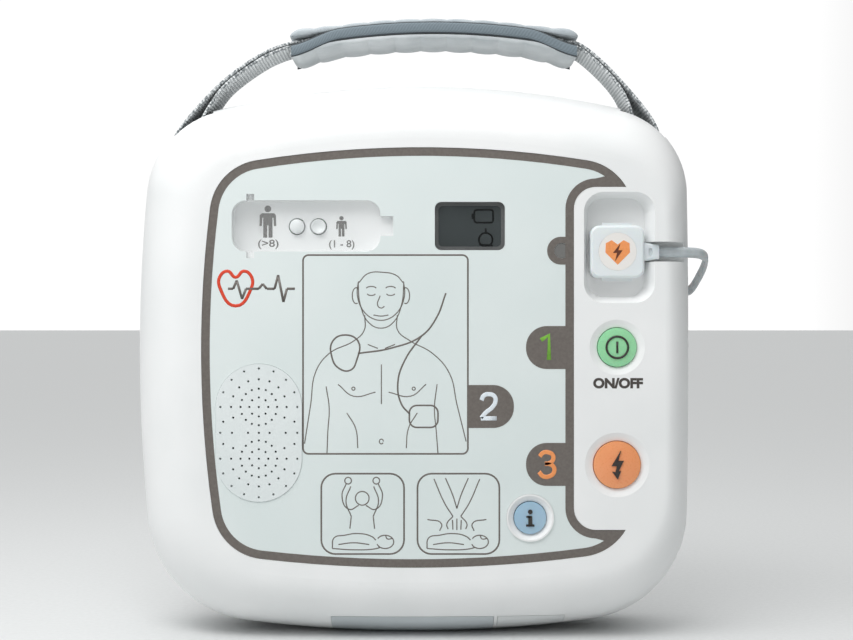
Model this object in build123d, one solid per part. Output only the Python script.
from build123d import *
import os
from math import cos, hypot, pi, radians, sin, sqrt, tan

# A public-access defibrillator that stands upright on its bottom edge.
# Units are millimetres. +X is to the right seen from the front, +Z is up and the
# front faces -Y. The origin is midway across the case at the lowest point.

os.makedirs("parts", exist_ok=True)

# ---------------------------------------------------------------- driving sizes
case_width = 260.0
case_height = 257.0
face_y = -34.0              # flat of the front
back_y = 33.0               # flat of the back
band_front_y = 0.0          # the side walls run straight between these two
band_back_y = 21.0
split_y = 0.0               # the two shells meet here
wall = 2.6
clearance = 0.3             # gap round a piece that moves or drops in
seat_gap = 0.1              # gap round a piece that is glued or clipped in
left = -case_width / 2
right = case_width / 2
top = case_height

# ------------------------------------------------------------------ form helpers


def big_sides(x0, z1, x1, z0, bulge, middle):
    """Left, top, right and bottom of a form as circles: centre x, centre z, radius."""
    return [
        (x0 + bulge[0], middle[0], bulge[0]),
        (middle[1], z1 - bulge[1], bulge[1]),
        (x1 - bulge[2], middle[2], bulge[2]),
        (middle[3], z0 + bulge[3], bulge[3]),
    ]


def corner_centre(first, second, radius):
    """Centre of a corner of that radius that blends two neighbouring sides."""
    reach_first = first[2] - radius
    reach_second = second[2] - radius
    step_x = second[0] - first[0]
    step_z = second[1] - first[1]
    apart = hypot(step_x, step_z)
    along = (reach_first**2 - reach_second**2 + apart**2) / (2 * apart)
    across = sqrt(reach_first**2 - along**2)
    unit_x = step_x / apart
    unit_z = step_z / apart
    return (
        first[0] + along * unit_x + across * unit_z,
        first[1] + along * unit_z - across * unit_x,
    )


def on_circle(centre, radius, towards):
    """Point of a circle in the direction of another point."""
    step_x = towards[0] - centre[0]
    step_z = towards[1] - centre[1]
    apart = hypot(step_x, step_z)
    return (centre[0] + step_x / apart * radius, centre[1] + step_z / apart * radius)


def form_wire(sides, corners, y):
    """Closed outline at depth y, of four big arcs and the four corners between them."""
    centres = [corner_centre(sides[i], sides[(i + 1) % 4], corners[i]) for i in range(4)]
    edges = []
    for i in range(4):
        side = sides[i]
        after = sides[(i + 1) % 4]
        start = on_circle(side, side[2], centres[i - 1])
        end = on_circle(side, side[2], centres[i])
        halfway = ((start[0] + end[0]) / 2, (start[1] + end[1]) / 2)
        middle = on_circle(side, side[2], halfway)
        edges.append(arc_at(start, middle, end, y))
        turned = on_circle(after, after[2], centres[i])
        chord = ((end[0] + turned[0]) / 2, (end[1] + turned[1]) / 2)
        nose = on_circle(centres[i], corners[i], chord)
        edges.append(arc_at(end, nose, turned, y))
    return Wire(edges)


def arc_at(start, middle, end, y):
    return Edge.make_three_point_arc(
        (start[0], y, start[1]), (middle[0], y, middle[1]), (end[0], y, end[1])
    )


def inset_sides(sides, insets):
    return [(s[0], s[1], s[2] - inset) for s, inset in zip(sides, insets)]


def slab(shape, y_front, y_back):
    """Prism of a flat shape, drawn as (x, z), between two depths."""
    return extrude(Plane.XZ.offset(-y_back) * shape, amount=y_back - y_front)


def wire_slab(wire, y_front, y_back):
    """Prism of an outline that lies at depth y_back."""
    return extrude(Face(wire), amount=y_back - y_front, dir=(0, -1, 0))


def rod(x, z, radius, y_front, y_back, radius_back=None):
    """Round bar or cone along Y."""
    length = y_back - y_front
    place = Pos(x, (y_front + y_back) / 2, z) * Rot(X=-90)
    if radius_back is None:
        return place * Cylinder(radius, length)
    return place * Cone(radius, radius_back, length)


def block(x0, x1, y0, y1, z0, z1):
    centre = Pos((x0 + x1) / 2, (y0 + y1) / 2, (z0 + z1) / 2)
    return centre * Box(x1 - x0, y1 - y0, z1 - z0)


def plate(x0, x1, z0, z1, radius):
    """Flat rounded rectangle, drawn as (x, z)."""
    return Pos((x0 + x1) / 2, (z0 + z1) / 2) * RectangleRounded(x1 - x0, z1 - z0, radius)


def soft_block(x0, x1, y0, y1, z0, z1, radius):
    """Block whose four edges along Y are rounded."""
    return slab(plate(x0, x1, z0, z1, radius), y0, y1)


def tapered(front, back, y_front, y_back):
    """Solid between two rounded rectangles (x0, x1, z0, z1, radius) at two depths."""
    mouth = Plane.XZ.offset(-y_front) * plate(*front)
    floor = Plane.XZ.offset(-y_back) * plate(*back)
    return loft([mouth.face(), floor.face()], ruled=True)


def grown(rect, by):
    return (rect[0] - by, rect[1] + by, rect[2] - by, rect[3] + by, rect[4] + by)


nodes = {}

# --------------------------------------------------------------- the case's form
side_bulge = (810.0, 430.0, 4000.0, 620.0)       # left, top, right, bottom
flat_foot = 1.1                                  # the bottom arc is cut off by this
side_middle = (top * 0.515, 4.0, top * 0.515, 0.0)
corner_radii = (44.0, 42.0, 52.0, 55.0)          # top left, top right, bottom right, left
front_margin = (31.5, 28.0, 15.0, 28.0)          # how far the front rolls over each side
back_margin = (14.0, 14.0, 14.0, 14.0)
roll_steps = (0, 22.5, 45, 67.5, 90)             # degrees round each roll
corner_share = 0.75

case_sides = big_sides(left, top, right, -flat_foot, side_bulge, side_middle)


def roll(margins, y_straight, y_flat, thickness):
    """Rolled-over half of the case, inset by thickness, from the straight wall to the flat."""
    depth = y_flat - y_straight
    depth -= thickness if depth > 0 else -thickness
    wires = []
    for step in roll_steps:
        share = 1 - cos(radians(step))
        insets = [thickness + margin * share for margin in margins]
        sides = inset_sides(case_sides, insets)
        corners = []
        for i in range(4):
            meeting = (insets[i] + insets[(i + 1) % 4]) / 2 - thickness
            corners.append(corner_radii[i] - thickness - corner_share * meeting)
        wires.append(form_wire(sides, corners, y_straight + depth * sin(radians(step))))
    return Solid.make_loft(wires)


def case_form(thickness):
    """The whole case inset by thickness, cut flat at the bottom."""
    sides = inset_sides(case_sides, [thickness] * 4)
    corners = [radius - thickness for radius in corner_radii]
    band = wire_slab(form_wire(sides, corners, band_back_y), band_front_y, band_back_y)
    whole = band + roll(front_margin, band_front_y, face_y, thickness)
    whole += roll(back_margin, band_back_y, back_y, thickness)
    return whole & block(2 * left, 2 * right, -99, 99, thickness, 2 * top)


outer_form = case_form(0.0)
inner_form = case_form(wall)

# The top corners are flattened where the handle's webbing goes round its bars.
strap_angle = 53.0          # degrees up from level, of the way out of each corner
strap_cut = 2.6             # how far the corner is flattened


def strap_place(side):
    """Plane across a top corner: local x runs along the case up to the top middle or
    down from it, local y points out of the case. side is -1 on the left, 1 on the right."""
    index = 0 if side < 0 else 1
    centre = corner_centre(case_sides[index], case_sides[index + 1], corner_radii[index])
    reach = corner_radii[index] - strap_cut
    out_x = side * cos(radians(strap_angle))
    out_z = sin(radians(strap_angle))
    origin = (centre[0] + reach * out_x, 0, centre[1] + reach * out_z)
    return Plane(origin=origin, x_dir=(out_z, 0, -out_x), z_dir=(0, -1, 0))


def strap_block(side, u0, u1, v0, v1, half_y):
    """Block in a top corner: u is towards the top middle, v out of the case."""
    low, high = (u0, u1) if side < 0 else (-u1, -u0)
    shape = Pos((low + high) / 2, (v0 + v1) / 2) * Rectangle(high - low, v1 - v0)
    return extrude(strap_place(side) * shape, amount=half_y, both=True)


for side in (-1, 1):
    outer_form -= strap_block(side, -30, 30, 0, 20, 99)
    inner_form -= strap_block(side, -30, 30, -wall, 20, 99)
front_half = block(2 * left, 2 * right, -99, split_y, -9, 2 * top)
back_half = block(2 * left, 2 * right, split_y, 99, -9, 2 * top)
case_wall = outer_form - inner_form
front_shell = case_wall & front_half
back_shell = case_wall & back_half

# -------------------------------------------------------------- places on the front
control_x = right - 37.2
power_z = top - 123.2
shock_z = 80.4
info_x = right - 76.7
info_z = 56.3
plug_x = right - 36.9
plug_z = top - 79.7
display_x = 25.9
display_z = top - 68.1
selector_x = left + 81.5
selector_z = top - 68.05
grille_x = left + 60.05
grille_z = 94.95
lamp_x = right - 62.3
lamp_z = top - 79.3

# ------------------------------------------------- overlay sheet and the white zone
overlay_recess = 0.9
overlay_thickness = 0.6
overlay_margin = (33.8, 32.3, 29.0, 33.6)        # left, top, right, bottom
overlay_bulge = (520.0, 480.0, 3000.0, 600.0)
overlay_corner = 25.0
zone_left = right - 56.8
zone_top = top - 50.4
zone_bottom = 50.9
zone_radius = 10.0

seat_y = face_y + overlay_recess
sheet_y = seat_y - overlay_thickness


def overlay_outline(gap, y):
    sides = big_sides(
        left + overlay_margin[0] + gap,
        top - overlay_margin[1] - gap,
        right - overlay_margin[2] - gap,
        overlay_margin[3] + gap,
        overlay_bulge,
        side_middle,
    )
    return form_wire(sides, [overlay_corner - gap] * 4, y)


def overlay_prism(gap, y_front, y_back):
    prism = wire_slab(overlay_outline(gap, y_back), y_front, y_back)
    zone = soft_block(
        zone_left - gap, right + 60, y_front, y_back,
        zone_bottom - gap, zone_top + gap, zone_radius,
    )
    return prism - zone


front_shell -= overlay_prism(0.0, face_y - 1, seat_y)
overlay_panel = overlay_prism(seat_gap, sheet_y, seat_y)

# ------------------------------------------------------------------- speaker grille
grille_width = 39.1
grille_height = 62.7
grille_ledge = 2.0
grille_proud = 0.35
grille_thickness = 1.6
hole_radius = 0.5
ring_centres = 23.5                              # distance between the two patterns
ring_radii = (4.3, 8.3, 12.6, 17.5)
ring_counts = (8, 16, 16, 16)
row_offsets = (0.0, 4.9, 12.2, 17.5)
keep_out = 3.4


def stadium(width, height):
    return Rot(Z=90) * SlotOverall(height, width)


grille_place = Pos(grille_x, grille_z)
grille_shape = grille_place * stadium(grille_width, grille_height)
grille_face_y = sheet_y - grille_proud
holes = [(grille_x + sign * x, grille_z) for x in row_offsets for sign in (1, -1)]
holes.remove((grille_x, grille_z))
for upper in (1, -1):
    hub_z = grille_z + upper * ring_centres / 2
    holes.append((grille_x, hub_z))
    for radius, count in zip(ring_radii, ring_counts):
        for i in range(count):
            angle = 2 * pi * i / count
            x = radius * cos(angle)
            z = hub_z + radius * sin(angle) - grille_z
            if upper * z > keep_out:
                holes.append((grille_x + x, grille_z + z))
pierced = grille_shape - [Pos(x, z) * Circle(hole_radius) for x, z in holes]
nodes["speaker_grille"] = slab(pierced, grille_face_y, grille_face_y + grille_thickness)

grille_seat = grille_place * stadium(grille_width + 2 * seat_gap, grille_height + 2 * seat_gap)
overlay_panel -= slab(grille_seat, face_y - 1, seat_y + 1)
front_shell -= slab(grille_seat, face_y - 1, grille_face_y + grille_thickness + seat_gap)
sound_port = grille_place * stadium(grille_width - 2 * grille_ledge, grille_height - 2 * grille_ledge)
front_shell -= slab(sound_port, face_y - 1, face_y + 2 * wall)

# ------------------------------------------------------------- selector and its cover
selector_rect = (selector_x - 33.8, selector_x + 33.8, selector_z - 11.65, selector_z + 11.65, 6.5)
selector_floor_y = face_y + 5.2
selector_wall = 1.6
lever_length = 13.4
lever_rect = (selector_rect[0], selector_rect[0] + lever_length, *selector_rect[2:])
lever_floor_y = face_y + 8.2
pivot_x = selector_rect[0] + 8.4
pivot_width = 3.6
pivot_reach = 2.9                                # the pins reach past the recess by this
pivot_depth = 2.4
latch_length = 5.8
latch_width = 9.0
cover_thickness = 1.2

front_shell += soft_block(
    *grown(selector_rect, selector_wall)[0:2], seat_y, selector_floor_y + selector_wall,
    *grown(selector_rect, selector_wall)[2:],
)
front_shell += soft_block(
    *grown(lever_rect, selector_wall)[0:2], seat_y, lever_floor_y + selector_wall,
    *grown(lever_rect, selector_wall)[2:],
)
selector_mouth = soft_block(
    *selector_rect[0:2], face_y - 1, selector_floor_y, *selector_rect[2:]
)
front_shell -= selector_mouth
overlay_panel -= selector_mouth

pivot_box = (
    pivot_x - pivot_width / 2, pivot_x + pivot_width / 2,
    selector_rect[2] - pivot_reach, selector_rect[3] + pivot_reach,
)
latch_x0 = selector_rect[1] - 1
latch_x1 = selector_rect[1] + latch_length
pivot_seat = block(
    pivot_box[0], pivot_box[1], face_y - 1, seat_y + pivot_depth, pivot_box[2], pivot_box[3]
)
latch_seat = block(
    latch_x0, latch_x1, face_y - 1, seat_y + pivot_depth,
    selector_z - latch_width / 2, selector_z + latch_width / 2,
)
pocket_floor = block(
    pivot_box[0] - 1.4, pivot_box[1] + 1.4, seat_y + 1, seat_y + pivot_depth + 1.4,
    pivot_box[2] - 1.4, pivot_box[3] + 1.4,
)
latch_floor = block(
    latch_x0, latch_x1 + 1.4, seat_y + 1, seat_y + pivot_depth + 1.4,
    selector_z - latch_width / 2 - 1.4, selector_z + latch_width / 2 + 1.4,
)
for floor, seat in ((pocket_floor, pivot_seat), (latch_floor, latch_seat)):
    front_shell += floor - selector_mouth
    front_shell -= seat
    overlay_panel -= seat
front_shell -= soft_block(*lever_rect[0:2], face_y - 1, lever_floor_y, *lever_rect[2:])

# The clear cover tips on two pins near its left end, so pressing that end lifts the rest.
cover_y = seat_y - 0.4 + cover_thickness / 2
cover_rect = grown(selector_rect, -clearance)
tab_half = latch_width / 2 - 0.4
tab_rect = (cover_rect[1] - 2, latch_x1 - clearance, selector_z - tab_half, selector_z + tab_half)
cover = slab(
    plate(*cover_rect) + plate(*tab_rect, 0.6),
    cover_y - cover_thickness / 2, cover_y + cover_thickness / 2,
)
pin_radius = 0.9
pin_length = pivot_box[3] - pivot_box[2] - 2 * clearance
cover += Pos(pivot_x, cover_y + 0.3, selector_z) * Cylinder(pin_radius, pin_length)
hook_x = latch_x1 - clearance - 1.0
cover += block(
    hook_x - 0.5, hook_x + 0.5, cover_y, cover_y + 2.0, selector_z - 3.2, selector_z + 3.2
)
nodes["selector_cover"] = cover

# Rocker with two round pegs, one domed and one dished, over a small slide switch.
peg_spacing = 9.8
peg_radius = 3.3
peg_proud = 1.6
peg_gap = 0.6
rocker_pivot_y = selector_floor_y + selector_wall
rocker_x = selector_x + 0.4
rocker_half = peg_spacing / 2
adult_x = rocker_x - rocker_half
child_x = rocker_x + rocker_half
peg_face_y = selector_floor_y - peg_proud
beam_y = rocker_pivot_y + 0.9
rocker = block(
    adult_x - 2.2, child_x + 2.2, beam_y, beam_y + 1.6, selector_z - 2.6, selector_z + 2.6
)
for x in (adult_x, child_x):
    rocker += rod(x, selector_z, peg_radius, peg_face_y, beam_y + 0.4)
    front_shell -= rod(x, selector_z, peg_radius + peg_gap, face_y, rocker_pivot_y + 0.2)
dome_radius = 5.2
dome = Pos(adult_x, peg_face_y + dome_radius - 1.1, selector_z) * Sphere(dome_radius)
rocker += dome & rod(adult_x, selector_z, peg_radius - 0.4, peg_face_y - 2, peg_face_y + 0.2)
rocker -= Pos(child_x, peg_face_y - 3.0, selector_z) * Sphere(4.1)
axle_y = rocker_pivot_y + 1.7
axle_radius = 0.7
axle_gap = 0.05
rocker += Pos(rocker_x, axle_y, selector_z) * Cylinder(axle_radius, 9.2)
for sign in (1, -1):
    lug_z = selector_z + sign * 3.9
    front_shell += block(
        rocker_x - 1.7, rocker_x + 1.7, selector_floor_y + 0.5, axle_y + 1.7, lug_z - 0.9, lug_z + 0.9
    )
front_shell -= Pos(rocker_x, axle_y, selector_z) * Cylinder(axle_radius + axle_gap, 12.0)
nodes["selector_rocker"] = rocker

# ------------------------------------------------------------------ display window
window_width = 31.7
window_height = 21.8
window_radius = 3.0
window_ledge = 1.6
window_thickness = 1.4
window_shape = Pos(display_x, display_z) * RectangleRounded(window_width, window_height, window_radius)
window_seat = Pos(display_x, display_z) * RectangleRounded(
    window_width + 2 * seat_gap, window_height + 2 * seat_gap, window_radius
)
view_port = Pos(display_x, display_z) * RectangleRounded(
    window_width - 2 * window_ledge, window_height - 2 * window_ledge, window_radius - 1
)
window_y = sheet_y + 0.25
overlay_panel -= slab(window_seat, face_y - 1, seat_y + 1)
front_shell -= slab(window_seat, face_y - 1, window_y + window_thickness + seat_gap)
front_shell -= slab(view_port, face_y - 1, face_y + 2 * wall)
nodes["display_window"] = slab(window_shape, window_y, window_y + window_thickness)

# ------------------------------------------------------------ lamp by the connector
lamp_radius = 3.3
lamp_flange = 4.3
lamp_bore = slab(Pos(lamp_x, lamp_z) * Circle(lamp_radius + seat_gap), face_y - 1, face_y + 2 * wall)
front_shell -= lamp_bore
overlay_panel -= lamp_bore
inside_face_y = face_y + wall
lamp_lens = rod(lamp_x, lamp_z, lamp_radius, sheet_y + 0.05, inside_face_y + 1)
lamp_lens += rod(lamp_x, lamp_z, lamp_flange, inside_face_y + seat_gap, inside_face_y + 1.5)
nodes["connector_lamp"] = lamp_lens

# ------------------------------------------------------------------------- buttons
button_travel = 1.2
button_flange = 1.0
flange_gap = 0.5
cone_depth = 1.3
lip_width = 0.8
lip_proud = 0.3
crown_radius = 60.0
switch_top_y = -28.3


def button(x, z, cap_radius, cone_radius, face, proud):
    """Cap with a flange behind the wall, and what is cut from the shell for it."""
    tip = face - proud
    body = rod(x, z, cap_radius, tip, inside_face_y + flange_gap + button_flange)
    crown = Pos(x, tip + crown_radius, z) * Sphere(crown_radius)
    cap = body & crown
    cap += rod(
        x, z, cap_radius + 1.4, inside_face_y + flange_gap, inside_face_y + flange_gap + button_flange
    )
    stem_end = switch_top_y - button_travel - 0.2
    cap += rod(x, z, 2.0, inside_face_y + flange_gap, stem_end)
    cut = rod(x, z, cap_radius + clearance, face - 1, inside_face_y + 1)
    cut += rod(x, z, cone_radius, face, face + cone_depth, cap_radius + clearance)
    return cap, cut


power_radius = 8.85
power_cone = 12.6
shock_radius = 10.7
shock_cone = 14.7
info_radius = 7.3
info_cone = 10.0
power_cap, power_cut = button(control_x, power_z, power_radius, power_cone, face_y, 0.3)
shock_cap, shock_cut = button(control_x, shock_z, shock_radius, shock_cone, face_y, 0.75)
info_cap, info_cut = button(info_x, info_z, info_radius, info_cone, face_y + 0.1, 0.3)
info_lip = info_cone + lip_width
info_opening = rod(info_x, info_z, info_lip + seat_gap, face_y - 1, seat_y + 1)
overlay_panel -= info_opening
front_shell += rod(info_x, info_z, info_lip, face_y - lip_proud, inside_face_y)
front_shell -= rod(info_x, info_z, info_cone, face_y - 1, face_y + 0.1)
for cut in (power_cut, shock_cut, info_cut):
    front_shell -= cut
nodes["power_button"] = power_cap
nodes["shock_button"] = shock_cap
nodes["info_button"] = info_cap
nodes["overlay_panel"] = overlay_panel

# --------------------------------------------------------- plug pocket and channel
pocket_mouth = (control_x - 15.1, right - 20.0, top - 103.0, top - 52.6, 9.0)
pocket_floor_rect = (control_x - 12.6, right - 23.8, top - 100.0, top - 55.0, 7.0)
pocket_depth = 9.0
pocket_y = face_y + pocket_depth
pocket_wall = 2.0
channel_width = 9.1
channel_y = face_y + 8.6
cap_width = 24.6
cap_height = 23.9
cap_radius = 4.1
cap_depth = 8.0
cap_bevel = 1.0
nose_width = 17.0
nose_height = 14.0
nose_length = 12.5
socket_wall = 2.0

front_shell += tapered(
    grown(pocket_mouth, pocket_wall), grown(pocket_floor_rect, pocket_wall),
    face_y + 0.2, pocket_y + pocket_wall,
) & outer_form
channel_z0 = plug_z - channel_width / 2
channel_z1 = plug_z + channel_width / 2
channel_x0 = pocket_floor_rect[1] - 4
front_shell += outer_form & block(
    channel_x0, right, face_y + 0.3, channel_y + pocket_wall,
    channel_z0 - pocket_wall, channel_z1 + pocket_wall,
)
front_shell -= tapered(pocket_mouth, pocket_floor_rect, face_y - 0.001, pocket_y)
front_shell -= tapered(
    grown(pocket_mouth, 0.5), grown(pocket_mouth, -0.05), face_y - 1.0, face_y + 0.05
)
front_shell -= block(channel_x0, right + 9, face_y - 5, channel_y, channel_z0, channel_z1)
nose_hole = soft_block(
    plug_x - nose_width / 2 - clearance, plug_x + nose_width / 2 + clearance,
    face_y, 0, plug_z - nose_height / 2 - clearance, plug_z + nose_height / 2 + clearance, 2.3,
)
front_shell -= nose_hole & block(left, right, face_y, pocket_y + pocket_wall + 1, 0, top)

cap_rect = (
    plug_x - cap_width / 2, plug_x + cap_width / 2,
    plug_z - cap_height / 2, plug_z + cap_height / 2, cap_radius,
)
cap_face_y = pocket_y - clearance - cap_depth
cap_side = soft_block(
    *cap_rect[0:2], cap_face_y + cap_bevel, pocket_y - clearance, *cap_rect[2:]
)
cap_front = tapered(grown(cap_rect, -cap_bevel), cap_rect, cap_face_y, cap_face_y + cap_bevel)
lips = block(
    plug_x - 6.8, plug_x + 6.8, cap_face_y + 3.2, cap_face_y + 5.4,
    cap_rect[2] - 1.3, cap_rect[3] + 1.3,
)
plug_cap = cap_side + cap_front + lips
badge_radius = 8.6
badge_depth = 0.5
badge_seat = rod(plug_x, plug_z, badge_radius + 0.05, cap_face_y - 1, cap_face_y + badge_depth)
plug_cap -= badge_seat
nodes["plug_badge"] = rod(plug_x, plug_z, badge_radius, cap_face_y, cap_face_y + badge_depth)
nose_rect = (
    plug_x - nose_width / 2, plug_x + nose_width / 2,
    plug_z - nose_height / 2, plug_z + nose_height / 2, 2.0,
)
nose_end_y = pocket_y - clearance + nose_length
plug_nose = soft_block(*nose_rect[0:2], pocket_y - clearance, nose_end_y, *nose_rect[2:])
pin_spots = [(plug_x + dx, plug_z + dz) for dx in (-4.5, 0, 4.5) for dz in (-3.2, 3.2)]
for x, z in pin_spots:
    plug_nose -= rod(x, z, 1.3, nose_end_y - 6.5, nose_end_y + 1)

# Strain relief on the cap's right side, with the oval window of its cord grip.
relief_end_x = plug_x + 19.3
relief_y = channel_y - 3.2
relief_start = Plane(origin=(cap_rect[1], relief_y, plug_z), x_dir=(0, 1, 0), z_dir=(1, 0, 0))
relief_end = Plane(origin=(relief_end_x, relief_y, plug_z), x_dir=(0, 1, 0), z_dir=(1, 0, 0))
relief = loft([
    (relief_start * RectangleRounded(5.2, 8.4, 1.2)).face(),
    (relief_end * RectangleRounded(4.0, 6.6, 1.2)).face(),
], ruled=True)
relief -= slab(
    Pos(plug_x + 15.3, plug_z) * stadium(1.8, 3.6), relief_y - 9, relief_y - 1.2
)
nodes["strain_relief"] = relief
nodes["plug_cap"] = plug_cap
nodes["plug_nose"] = plug_nose

# Socket behind the pocket, with its contact pins.
socket_y0 = pocket_y + pocket_wall + seat_gap
socket_y1 = nose_end_y + clearance + 2.0
socket = soft_block(
    *grown(nose_rect, clearance + socket_wall)[0:2], socket_y0, socket_y1,
    *grown(nose_rect, clearance + socket_wall)[2:],
)
socket -= nose_hole & block(left, right, face_y, nose_end_y + clearance, 0, top)
contacts = []
for x, z in pin_spots:
    pin = rod(x, z, 0.75, nose_end_y - 5.0, socket_y1 + 3.0)
    socket -= rod(x, z, 0.75, nose_end_y, socket_y1 + 1)
    contacts.append(pin)
nodes["pads_socket"] = socket
nodes["socket_pins"] = Compound(contacts)

# ----------------------------------------------------- strap bars in the top corners
webbing_width = 28.0
webbing_thickness = 1.5
bar_width = 9.6
bar_thickness = 3.8
bar_depth = 1.6             # the bar's outer face lies this far under the flattened corner
recess_low = -9.0           # the recess runs from here to here along the corner
recess_high = 15.5
recess_floor = -9.0
recess_half = webbing_width / 2 + 1.2
recess_wall = 2.0
bar_hold = 1.8              # each end of a bar sits this far in the recess wall

bars = []
for side in (-1, 1):
    liner = strap_block(
        side, recess_low - recess_wall, recess_high + recess_wall,
        recess_floor - recess_wall, 1, recess_half + recess_wall,
    ) & outer_form
    recess = strap_block(side, recess_low, recess_high, recess_floor, 30, recess_half)
    section = Pos(0, -bar_depth - bar_thickness / 2) * RectangleRounded(bar_width, bar_thickness, 1.7)
    bar = extrude(strap_place(side) * section, amount=recess_half + bar_hold, both=True)
    for_front = (liner & front_half) - recess - bar
    for_back = (liner & back_half) - recess - bar
    front_shell = front_shell - recess - bar + for_front
    back_shell = back_shell - recess - bar + for_back
    bars.append(bar)
nodes["strap_bars"] = Compound(bars)

# ----------------------------------------------------------------- bottom edge pieces
skin = 1.8
strip_gap = 0.15
strip_top = 10.0
strip_back_y = split_y - 1.5
window_x0 = -37.7
window_x1 = 37.1
card_x0 = 38.9
card_x1 = 69.9
skin_form = outer_form - case_form(skin)
seat_form = outer_form - case_form(skin + strip_gap)


def bottom_piece(form, x0, x1, gap):
    return form & block(x0 - gap, x1 + gap, -99, strip_back_y + gap, -9, strip_top + gap)


nodes["infrared_window"] = bottom_piece(skin_form, window_x0, window_x1, 0)
nodes["card_cover"] = bottom_piece(skin_form, card_x0, card_x1, 0)
front_shell -= bottom_piece(seat_form, window_x0, window_x1, strip_gap)
front_shell -= bottom_piece(seat_form, card_x0, card_x1, strip_gap)
card_width = 24.0
card_length = 32.0
card_thickness = 2.1
card_x = (card_x0 + card_x1) / 2
card_y = -18.1
card_z0 = 11.0
slot_gap = 0.8
front_shell -= block(
    card_x - card_width / 2 - slot_gap, card_x + card_width / 2 + slot_gap,
    card_y - card_thickness / 2 - slot_gap, card_y + card_thickness / 2 + slot_gap, -9, 12,
)

# ------------------------------------------------------------------- the back's bays
battery_width = 96.0
battery_height = 74.0
battery_bottom = 22.0
battery_floor_y = 7.0
bay_wall = 2.0
bay_radius = 5.0
bay_gap = 14.0              # between the battery bay and the pads bay
pads_side = 38.0            # the pads bay stops this far from each side and the top
pads_top = 35.0
pads_floor_y = 13.0
door_rim = 3.0
door_thickness = 2.4
groove_z = top - 97.0
groove_width = 9.0
groove_floor_y = 18.0

battery_rect = (
    -battery_width / 2, battery_width / 2,
    battery_bottom, battery_bottom + battery_height, bay_radius,
)
pads_rect = (left + pads_side, right - pads_side, battery_rect[3] + bay_gap, top - pads_top, 8.0)
door_corner = 3.0
door_rect = (*grown(pads_rect, door_rim)[0:4], door_corner)
door_y = back_y - door_thickness

latch_half = 10.0
catch_block = block(
    -latch_half + 1, latch_half - 1, 22, back_y, battery_rect[3], battery_rect[3] + 5
)
back_liners = soft_block(
    *grown(battery_rect, bay_wall)[0:2], battery_floor_y - bay_wall, back_y,
    *grown(battery_rect, bay_wall)[2:],
)
back_liners += soft_block(
    *grown(pads_rect, bay_wall)[0:2], pads_floor_y - bay_wall, back_y,
    *grown(pads_rect, bay_wall)[2:],
)
back_liners += soft_block(
    *grown(door_rect, bay_wall + clearance)[0:2], door_y - bay_wall, back_y,
    *grown(door_rect, bay_wall + clearance)[2:],
)
back_liners += block(
    pads_rect[1], right, groove_floor_y - bay_wall, back_y,
    groove_z - groove_width / 2 - bay_wall, groove_z + groove_width / 2 + bay_wall,
)
back_liners += catch_block
back_shell += back_liners & outer_form & back_half
back_shell -= soft_block(*battery_rect[0:2], battery_floor_y, back_y + 1, *battery_rect[2:])
back_shell -= soft_block(*pads_rect[0:2], pads_floor_y, back_y + 1, *pads_rect[2:])
back_shell -= soft_block(
    *grown(door_rect, clearance)[0:2], door_y - 0.2, back_y + 1, *grown(door_rect, clearance)[2:]
)
back_shell -= block(
    pads_rect[1] - 1, right + 9, groove_floor_y, back_y + 9,
    groove_z - groove_width / 2, groove_z + groove_width / 2,
)

# --------------------------------------------------------------------- pads bay door
nose_radius = door_thickness / 2
hinge_x = door_rect[0] + nose_radius
hinge_y = door_y + nose_radius
door_pin_radius = 0.8
door_pin_gap = 0.05
door_pin_length = 9.8
door_pin_reach = 2.5
door_latch_travel = 2.2
door_latch_z = pads_rect[3] - 26.0
door_edge = door_rect[1]

door = soft_block(*door_rect[0:2], door_y, back_y, *door_rect[2:])
door -= block(door_rect[0] - 1, hinge_x, door_y - 1, back_y + 1, 0, top)
door_z = (door_rect[2] + door_rect[3]) / 2
door_height = door_rect[3] - door_rect[2]
nose_length = door_height - 2 * (door_corner + clearance)
door += Pos(hinge_x, hinge_y, door_z) * Cylinder(nose_radius, nose_length)
finger_scoop = Pos(door_edge - 24.0, back_y + 15.0, door_latch_z) * Sphere(16.2)
door -= finger_scoop
pad_x0 = door_edge - 15.0
pad_x1 = door_edge - 7.0
latch_y0 = door_y + 0.3
latch_y1 = back_y - 0.8
latch_pad = block(pad_x0, pad_x1, latch_y0, back_y, door_latch_z - 6, door_latch_z + 6)
latch_tongue = block(
    pad_x0 - 3.0, door_edge + 2.0, latch_y0, latch_y1, door_latch_z - 3, door_latch_z + 3
)
nodes["door_latch"] = latch_pad + latch_tongue
door -= block(
    pad_x0 - door_latch_travel - clearance, pad_x1 + clearance, door_y - 1, back_y + 1,
    door_latch_z - 6 - clearance, door_latch_z + 6 + clearance,
)
door -= block(
    pad_x0 - 3.0 - door_latch_travel - clearance, door_edge + 1, door_y - 1, latch_y1 + 0.2,
    door_latch_z - 3 - clearance, door_latch_z + 3 + clearance,
)
back_shell -= block(
    door_edge - 1, door_edge + 2.6, latch_y0 - 0.4, back_y + 1,
    door_latch_z - 3.4, door_latch_z + 3.4,
)
back_shell -= block(
    door_rect[0] - clearance, hinge_x + nose_radius, door_y - 0.2, back_y + 1,
    door_rect[2] - clearance, door_rect[3] + clearance,
)
pins = []
for sign in (1, -1):
    end_z = door_z + sign * door_height / 2
    pin_z = end_z + sign * (door_pin_reach - door_pin_length / 2)
    pin = Pos(hinge_x, hinge_y, pin_z) * Cylinder(door_pin_radius, door_pin_length)
    socket_hole = Pos(hinge_x, hinge_y, end_z + sign * 0.7) * Cylinder(
        door_pin_radius + door_pin_gap, 4.8
    )
    back_shell -= socket_hole
    door -= pin
    pins.append(pin)
nodes["door_hinge_pins"] = Compound(pins)
nodes["pads_door"] = door

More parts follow.
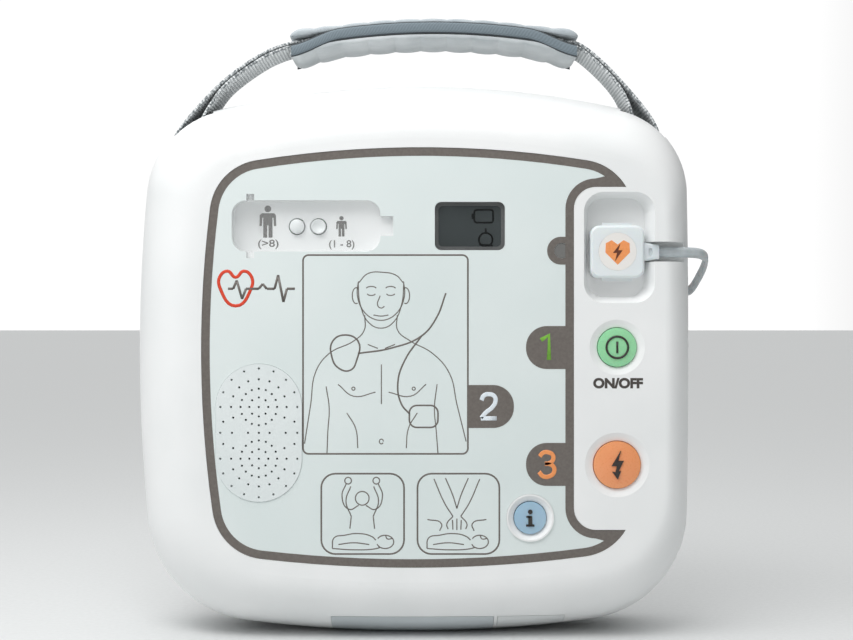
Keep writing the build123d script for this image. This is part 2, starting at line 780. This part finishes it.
# ------------------------------------------------------------------- sealed pads pouch
pouch_rect = (left + 45.0, right - 45.0, pads_rect[2] + 7.0, pads_rect[3] - 8.0, 5.0)
pouch_y0 = pads_floor_y + 0.6
pouch_y1 = pads_floor_y + 11.0
nodes["pads_pouch"] = soft_block(*pouch_rect[0:2], pouch_y0, pouch_y1, *pouch_rect[2:])

# ----------------------------------------------------------------------- battery pack
battery_wall = 1.8
battery_lid = 1.6
pack_rect = grown(battery_rect, -clearance)
pack_y0 = battery_floor_y + clearance
battery_case = soft_block(*pack_rect[0:2], pack_y0 + battery_lid, back_y, *pack_rect[2:])
cells_rect = grown(pack_rect, -battery_wall)
battery_case -= soft_block(
    *cells_rect[0:2], pack_y0 + battery_lid - 1, back_y - battery_wall, *cells_rect[2:]
)
latch_top = pack_rect[3]
latch_floor_y = back_y - 6.6        # floor of the well that the catch slides in
latch_low = latch_top - 8.6
pad_y = back_y - 3.4                # the catch's pad is outside this, its tongue inside
tongue_half = 6.0
tongue_reach = 2.2                  # the tongue goes this far into the shell
battery_case += block(
    -latch_half - 1.6, latch_half + 1.6, latch_floor_y - 1.4, back_y, latch_top - 13.0, latch_top
)
battery_case -= block(
    -latch_half - clearance, latch_half + clearance, latch_floor_y, back_y + 1,
    latch_low - 2.9, latch_top + 1,
)
battery_latch = block(-latch_half, latch_half, pad_y, back_y - 0.3, latch_low, latch_top - 1.0)
battery_latch += block(
    -tongue_half, tongue_half, latch_floor_y + 0.4, pad_y, latch_low, latch_top + tongue_reach
)
for i in range(4):
    ridge_z = latch_low + 0.8 + 1.7 * i
    battery_latch += block(-7, 7, back_y - 0.4, back_y + 0.1, ridge_z, ridge_z + 0.8)
nodes["battery_latch"] = battery_latch
back_shell -= block(
    -tongue_half - 0.5, tongue_half + 0.5, latch_floor_y, back_y + 1,
    latch_top - 1, latch_top + tongue_reach + 0.7,
)
for i in range(5):
    battery_case -= block(
        -18, 18, back_y - 0.5, back_y + 1, pack_rect[2] + 8 + 3.2 * i, pack_rect[2] + 9.6 + 3.2 * i
    )
nodes["battery_case"] = battery_case
lid = soft_block(*pack_rect[0:2], pack_y0, pack_y0 + battery_lid, *pack_rect[2:])
contact_xs = (-12.0, 0.0, 12.0)
contact_z = battery_rect[2] + 58.0
terminals = []
bay_contacts = []
for x in contact_xs:
    terminals.append(block(x - 3, x + 3, pack_y0, pack_y0 + 1.0, contact_z - 4, contact_z + 4))
    blade = block(
        x - 1.2, x + 1.2, battery_floor_y - bay_wall - 1.2, battery_floor_y,
        contact_z - 2, contact_z + 2,
    )
    bay_contacts.append(blade)
    lid -= terminals[-1]
    back_shell -= blade
contact_relief = block(
    contact_xs[0] - 3, contact_xs[-1] + 3, 0, battery_floor_y - bay_wall, contact_z - 4, contact_z + 4
)
nodes["battery_lid"] = lid
nodes["battery_terminals"] = Compound(terminals)
nodes["bay_contacts"] = Compound(bay_contacts)
cell_radius = 10.3
cell_length = 56.0
cell_pitch = 22.0
cell_y = (pack_y0 + battery_lid + back_y - battery_wall) / 2 - 0.2
cells = []
for i in range(4):
    x = (i - 1.5) * cell_pitch
    cell = Pos(x, cell_y, cells_rect[2] + 1 + cell_length / 2) * Cylinder(cell_radius, cell_length)
    cells.append(cell)
nodes["battery_cells"] = Compound(cells)

# ------------------------------------------------------- gasket, screws, rubber feet
gasket_in = 0.8
gasket_out = 1.8
gasket_height = 1.2


def rim_ring(outer_inset, inner_inset, y0, y1):
    rings = []
    for inset in (outer_inset, inner_inset):
        sides = inset_sides(case_sides, [inset] * 4)
        corners = [radius - inset for radius in corner_radii]
        ring = wire_slab(form_wire(sides, corners, y1), y0, y1)
        for side in (-1, 1):
            ring -= strap_block(side, -30, 30, -inset, 20, 99)
        ring &= block(2 * left, 2 * right, -99, 99, inset, 2 * top)
        rings.append(ring)
    ring = rings[0] - rings[1]
    for side in (-1, 1):
        ring -= strap_block(side, recess_low, recess_high, recess_floor, 30, recess_half)
    return ring


nodes["shell_gasket"] = rim_ring(gasket_in, gasket_out, split_y, split_y + gasket_height)
back_shell -= rim_ring(gasket_in, gasket_out, split_y - 0.01, split_y + gasket_height)

boss_radius = 4.2
screw_spots = [
    (left + 17.0, 150.0), (right - 14.0, 112.0),
    (left + 30.0, 40.0), (right - 28.0, 38.0),
    (-60.0, top - 19.5), (62.0, top - 18.5),
]
screw_radius = 1.5
pilot_gap = 0.05
pilot_end_y = -20.0
screw_end_y = -17.0
head_seat_y = 12.0
head_radius = 2.8
head_height = 2.0
head_gap = 0.5
screws = []
for x, z in screw_spots:
    post = rod(x, z, boss_radius, face_y, back_y) & outer_form
    front_shell += post & front_half
    back_shell += post & back_half
    front_shell -= rod(x, z, screw_radius + pilot_gap, pilot_end_y, split_y)
    back_shell -= rod(x, z, screw_radius + 0.2, split_y, head_seat_y)
    back_shell -= rod(x, z, head_radius + head_gap, head_seat_y, back_y + 1)
    screw = rod(x, z, screw_radius, screw_end_y, head_seat_y)
    screw += rod(x, z, head_radius, head_seat_y, head_seat_y + head_height)
    cross = Pos(x, head_seat_y + head_height, z) * (Box(3.2, 1.6, 0.7) + Box(0.7, 1.6, 3.2))
    screws.append(screw - cross)
nodes["shell_screws"] = Compound(screws)

foot_radius = 6.0
foot_seat = 1.0
foot_proud = 1.75
foot_spots = [
    (left + 50.0, top - 22.5), (right - 50.0, top - 22.5), (left + 46.0, 24.0), (right - 46.0, 24.0)
]
feet = []
for x, z in foot_spots:
    foot = rod(x, z, foot_radius, back_y - foot_seat, back_y + foot_proud)
    feet.append(chamfer(foot.edges().group_by(Axis.Y)[-1], 0.6))
    back_shell -= rod(x, z, foot_radius + seat_gap, back_y - foot_seat, back_y + 1)
nodes["rubber_feet"] = Compound(feet)

# ---------------------------------------------------------------- boards and what's on them
board_thickness = 1.6
display_board_y = -22.6
power_board_y = 1.5
board_left = left + 36.0
board_right = right - 36.0
display_board = soft_block(
    -46, right - 26, display_board_y, display_board_y + board_thickness, 44, 150, 2
)
display_board += soft_block(
    left + 46, right - 60, display_board_y, display_board_y + board_thickness, 140, top - 49, 2
)
post_spots = [(-41.0, 146.0), (-41.0, 49.0), (72.0, 49.0), (72.0, 140.0), (-5.0, top - 54.0)]
post_radius = 3.0
small_screw_radius = 1.0
board_screws = []
for x, z in post_spots:
    post = rod(x, z, post_radius, inside_face_y - 0.5, display_board_y)
    front_shell += post
    front_shell -= rod(x, z, small_screw_radius + pilot_gap, display_board_y - 6, display_board_y)
    display_board -= rod(x, z, small_screw_radius + 0.2, display_board_y - 1, -20)
    head_y = display_board_y + board_thickness
    screw = rod(x, z, small_screw_radius, display_board_y - 5, head_y)
    screw += rod(x, z, 2.0, head_y, head_y + 1.2)
    board_screws.append(screw)

capacitor_box = (-36.0, 26.0, -20.4, 8.5, 120.0, 164.0)
hole_box = (
    capacitor_box[0] - 1, capacitor_box[1] + 1, power_board_y - 9, power_board_y + 9,
    capacitor_box[4] - 1, capacitor_box[5] + 1,
)
power_board = soft_block(
    board_left, board_right, power_board_y, power_board_y + board_thickness, 30, top - 45, 3
)
power_board -= block(*hole_box)
tray_y = power_board_y + board_thickness + 0.3
tray = soft_block(board_left, board_right, tray_y, tray_y + 0.9, 30, top - 45, 3)
tray -= block(*hole_box)
tray -= contact_relief
back_posts = [(x, z) for x in (board_left + 8, board_right - 8) for z in (pads_rect[2] + 8, top - 53)]
for x, z in back_posts:
    back_shell += rod(x, z, post_radius, power_board_y + board_thickness, pads_floor_y - bay_wall + 0.5)
    back_shell -= rod(
        x, z, small_screw_radius + pilot_gap, power_board_y, power_board_y + board_thickness + 6
    )
    tray -= rod(x, z, post_radius + 0.2, tray_y - 1, tray_y + 2)
    power_board -= rod(x, z, small_screw_radius + 0.2, power_board_y - 1, power_board_y + 2)
    screw = rod(x, z, small_screw_radius, power_board_y, power_board_y + board_thickness + 5)
    screw += rod(x, z, 2.0, power_board_y - 1.2, power_board_y)
    board_screws.append(screw)
nodes["board_screws"] = Compound(board_screws)
nodes["insulating_tray"] = tray
nodes["high_voltage_capacitor"] = fillet(block(*capacitor_box).edges().filter_by(Axis.Y), 3.0)

on_power = power_board_y - 0.05
transformer = block(40, 64, -16.0, on_power - 2.0, 126, 148)
transformer += block(37.5, 66.5, -13.5, on_power - 4.5, 122.5, 151.5)
transformer += block(42, 62, on_power - 2.0, on_power, 128, 146)
nodes["charging_transformer"] = transformer
choke = rod(54, 178, 12.0, -11.0, on_power) - rod(54, 178, 5.0, -12, on_power + 1)
nodes["output_choke"] = choke
nodes["bridge_relay"] = block(-86, -58, -15.0, on_power, 136, 158)
heatsink = block(-86, -54, -3.0, on_power, 168, 200)
for i in range(6):
    heatsink += block(-86 + 6 * i, -84 + 6 * i, -17.0, -2.9, 168, 200)
nodes["bridge_heatsink"] = heatsink
transistors = []
for i in range(4):
    z = 170.5 + 7.5 * i
    transistors.append(block(-53.5, -49.0, -16.0, on_power, z, z + 5.5))
nodes["bridge_transistors"] = Compound(transistors)
nodes["board_connector"] = block(
    28, 58, display_board_y + board_thickness + 0.05, on_power, 98, 103
)
nodes["backup_cell"] = rod(
    20, 62, 10.0, display_board_y + board_thickness + 0.05, display_board_y + board_thickness + 3.3
)
nodes["microphone"] = rod(-22, 100, 3.0, display_board_y - 2.8, display_board_y - 0.05)
key_switches = []
for x, z in ((control_x, power_z), (control_x, shock_z), (info_x, info_z)):
    key = block(x - 3, x + 3, display_board_y - 3.4, display_board_y - 0.05, z - 3, z + 3)
    key += rod(x, z, 1.5, switch_top_y, display_board_y - 3.4)
    key_switches.append(key)
nodes["key_switches"] = Compound(key_switches)
nodes["selector_switch"] = block(
    rocker_x - 4, rocker_x + 4, display_board_y - 1.2, display_board_y - 0.05,
    selector_z - 2.2, selector_z + 2.2,
)
module_y0 = inside_face_y + 0.05
display_module = block(
    display_x - 20.5, display_x + 20.5, module_y0, display_board_y - 0.05,
    display_z - 15.5, display_z + 15.5,
)
nodes["display_module"] = display_module
nodes["display_board"] = display_board
nodes["power_board"] = power_board

speaker_radius = 19.0
speaker = rod(grille_x, grille_z, speaker_radius, inside_face_y + 0.05, inside_face_y + 3)
speaker += rod(grille_x, grille_z, speaker_radius - 1.5, inside_face_y + 3, inside_face_y + 9, 11.0)
speaker += rod(grille_x, grille_z, 11.0, inside_face_y + 9, inside_face_y + 15)
speaker -= rod(grille_x, grille_z, speaker_radius - 3, inside_face_y - 1, inside_face_y + 5.5, 6.0)
nodes["speaker_driver"] = speaker


# ------------------------------------------------------------- memory card, infrared
card = block(
    card_x - card_width / 2, card_x + card_width / 2,
    card_y - card_thickness / 2, card_y + card_thickness / 2, card_z0, card_z0 + card_length,
)
card -= Pos(card_x + card_width / 2, card_y, card_z0 + card_length) * Rot(Y=45) * Box(6, 9, 6)
socket_z0 = card_z0 + 8.0
card_socket = block(
    card_x - card_width / 2 - 2, card_x + card_width / 2 + 2, card_y - 2.8, card_y + 2.8,
    socket_z0, socket_z0 + 40.0,
)
card_socket -= block(
    card_x - card_width / 2 - 0.2, card_x + card_width / 2 + 0.2,
    card_y - card_thickness / 2 - 0.2, card_y + card_thickness / 2 + 0.2,
    socket_z0 - 1, card_z0 + card_length + 0.4,
)
nodes["memory_card"] = card
nodes["card_socket"] = card_socket
infrared_z = 12.6
infrared = block(-12, 12, -20.0, -12.0, infrared_z, infrared_z + 8)
for x in (-6, 6):
    infrared += Pos(x, -15.0, infrared_z - 0.5) * Cylinder(2.5, 5.0)
    infrared += Pos(x, -15.0, infrared_z - 2.8) * Sphere(2.5)
nodes["infrared_module"] = infrared

# ------------------------------------------------------------------- handle webbing
layer_gap = 0.1
grip_x = 9.7
grip_z = top + 25.0         # middle of the two layers of webbing at the grip's crown
grip_radius = 322.0
grip_x0 = left + 72.4
grip_x1 = right - 53.0
pair = webbing_thickness + layer_gap / 2    # from the middle to the outside of the pair


def sector(inner, outer, x0, x1):
    """Slice of a ring about the grip's centre, drawn as (x, z)."""
    hub = (grip_x, grip_z - grip_radius)
    ring = Pos(*hub) * (Circle(outer) - Circle(inner))
    return ring & Pos((x0 + x1) / 2, grip_z) * Rectangle(x1 - x0, 60)


def strap_point(side, u, v):
    plane = strap_place(side)
    point = plane.from_local_coords(Vector(-side * u, v, 0))
    return (point.X, point.Z)


def on_grip(x, lift):
    """Point of the grip's arc under x, lifted off the middle of the two layers."""
    return (x, grip_z - grip_radius + sqrt((grip_radius + lift) ** 2 - (x - grip_x) ** 2))


# Middle line of the webbing on each side: from the grip along the outer layer, round
# the bar and back to the grip along the inner layer.
half_pair = pair / 2
left_low = on_grip(grip_x0, 0)[1]
right_low = on_grip(grip_x1, 0)[1]
left_route = [
    on_grip(grip_x0 + 4.6, half_pair), on_grip(grip_x0 - 2.9, half_pair),
    (left + 58.5, left_low - 4.0), (left + 41.3, top + 1.9), (left + 26.7, top - 13.6),
    strap_point(-1, -6.0, -0.7), strap_point(-1, -6.0, -6.6),
    strap_point(-1, 6.2, -6.6), strap_point(-1, 8.0, -2.4),
    (left + 36.5, top - 7.4), (left + 42.6, top + 0.5), (left + 59.2, left_low - 5.6),
    on_grip(grip_x0 - 2.5, -half_pair), on_grip(grip_x0 + 5.0, -half_pair),
]
right_route = [
    on_grip(grip_x1 - 4.6, half_pair), on_grip(grip_x1 + 2.5, half_pair),
    (right - 36.0, top + 5.2), (right - 19.6, top - 14.0),
    strap_point(1, -6.0, -0.7), strap_point(1, -6.0, -6.6),
    strap_point(1, 6.2, -6.6), strap_point(1, 8.0, -2.4),
    (right - 30.5, top - 5.5), (right - 37.3, top + 3.9),
    on_grip(grip_x1 + 1.8, -half_pair), on_grip(grip_x1 - 5.0, -half_pair),
]
left_bends = [30.0, 24.0, 24.0, 40.0, 2.2, 1.7, 1.7, 3.0, 20.0, 24.0, 24.0, 30.0]
right_bends = [12.0, 24.0, 20.0, 2.2, 1.7, 1.7, 3.0, 20.0, 24.0, 12.0]
webbing = slab(
    sector(grip_radius - pair, grip_radius + pair, grip_x0 + 4, grip_x1 - 4),
    -webbing_width / 2, webbing_width / 2,
)
for route, radii in ((left_route, left_bends), (right_route, right_bends)):
    line = FilletPolyline(*route, radius=radii)
    ribbon = trace(line, webbing_thickness)
    webbing += slab(ribbon, -webbing_width / 2, webbing_width / 2)
nodes["handle_webbing"] = webbing

grip_width = 34.0
grip_gap = 0.3
upper_thickness = 2.9
lower_thickness = 3.2
for name, inner, outer in (
    ("grip_upper", pair + grip_gap, pair + grip_gap + upper_thickness),
    ("grip_lower", -pair - grip_gap - lower_thickness, -pair - grip_gap),
):
    pad = sector(grip_radius + inner, grip_radius + outer, grip_x0, grip_x1)
    nodes[name] = slab(pad, -grip_width / 2, grip_width / 2)

# ----------------------------------------------------------------------- pads lead
lead_radius = 2.4
pouch_edge = right - 45.0
lead_route = [
    (relief_end_x, relief_y, plug_z),
    (relief_end_x + 9.0, relief_y, plug_z),
    (right + 4.3, -27.0, plug_z - 0.5),
    (right + 6.6, -13.5, plug_z - 5.2),
    (right + 4.7, -2.5, plug_z - 12.5),
    (right + 3.9, 8.0, plug_z - 16.4),
    (right + 3.4, 17.5, groove_z + 0.2),
    (right - 2.4, 25.2, groove_z),
    (right - 14.0, 26.4, groove_z - 0.3),
    (right - 24.0, 24.8, groove_z),
    (right - 34.0, 20.4, groove_z),
    (pouch_edge, 20.4, groove_z),
]
points = [Vector(*point) for point in lead_route]
lead_bends = []
for before, here, after in zip(points, points[1:], points[2:]):
    run_in = here - before
    run_out = after - here
    turn = radians(run_in.get_angle(run_out))
    lead_bends.append(0.45 * min(run_in.length, run_out.length) / tan(turn / 2))
print("lead bend radii", [round(bend, 1) for bend in lead_bends])
lead_line = FilletPolyline(*points, radius=lead_bends)
lead_path = lead_line.wire()
lead_section = Plane(origin=points[0], z_dir=points[1] - points[0]) * Circle(lead_radius)
lead = sweep(lead_section, path=lead_path)
print("lead length", round(lead_path.length, 1), "volume", round(lead.volume, 1),
      "section times length", round(pi * lead_radius**2 * lead_path.length, 1))
nodes["pads_lead"] = lead

nodes["front_shell"] = front_shell
nodes["rear_shell"] = back_shell
for name, shape in nodes.items():
    export_step(shape, "parts/" + name + ".step")
